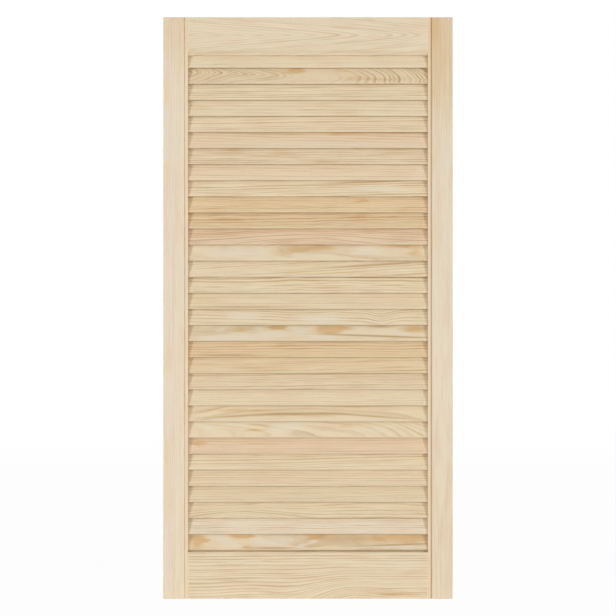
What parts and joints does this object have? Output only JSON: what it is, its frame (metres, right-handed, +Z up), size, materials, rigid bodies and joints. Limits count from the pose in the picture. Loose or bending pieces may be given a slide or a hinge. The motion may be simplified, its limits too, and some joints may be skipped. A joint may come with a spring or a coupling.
{
  "type": "louvred cabinet door",
  "caption": "Pale pine louvred door for a cupboard or wardrobe: stiles and rails dowelled at the corners round fixed, overlapping slats let into slanted slots.",
  "frame": {"origin": "middle of the door's bottom edge, half way through its thickness", "axes": "+Z up along the stiles, +X to the right of someone facing the front, -Y out of the front face"},
  "size_m": [0.494, 0.021, 0.993],
  "materials": {
    "pine_stile": "planed and sanded pale pine, unfinished, grain upright",
    "pine_rail": "planed and sanded pale pine, unfinished, grain across",
    "pine_slat": "planed pale pine, unfinished, grain across, each slat from another board",
    "beech_dowel": "turned and fluted beech"
  },
  "bodies": {
    "root": {"stile_left": "pine_stile", "stile_right": "pine_stile", "top_rail": "pine_rail", "bottom_rail": "pine_rail", "slat_01": "pine_slat", "slat_02": "pine_slat", "slat_03": "pine_slat", "slat_04": "pine_slat", "slat_05": "pine_slat", "slat_06": "pine_slat", "slat_07": "pine_slat", "slat_08": "pine_slat", "slat_09": "pine_slat", "slat_10": "pine_slat", "slat_11": "pine_slat", "slat_12": "pine_slat", "slat_13": "pine_slat", "slat_14": "pine_slat", "slat_15": "pine_slat", "slat_16": "pine_slat", "slat_17": "pine_slat", "slat_18": "pine_slat", "slat_19": "pine_slat", "slat_20": "pine_slat", "slat_21": "pine_slat", "slat_22": "pine_slat", "slat_23": "pine_slat", "slat_24": "pine_slat", "slat_25": "pine_slat", "slat_26": "pine_slat", "slat_27": "pine_slat", "slat_28": "pine_slat", "slat_29": "pine_slat", "slat_30": "pine_slat", "slat_31": "pine_slat", "dowel_top_left_lower": "beech_dowel", "dowel_top_left_upper": "beech_dowel", "dowel_top_right_lower": "beech_dowel", "dowel_top_right_upper": "beech_dowel", "dowel_bottom_left_lower": "beech_dowel", "dowel_bottom_left_upper": "beech_dowel", "dowel_bottom_right_lower": "beech_dowel", "dowel_bottom_right_upper": "beech_dowel"}
  },
  "joints": []
}
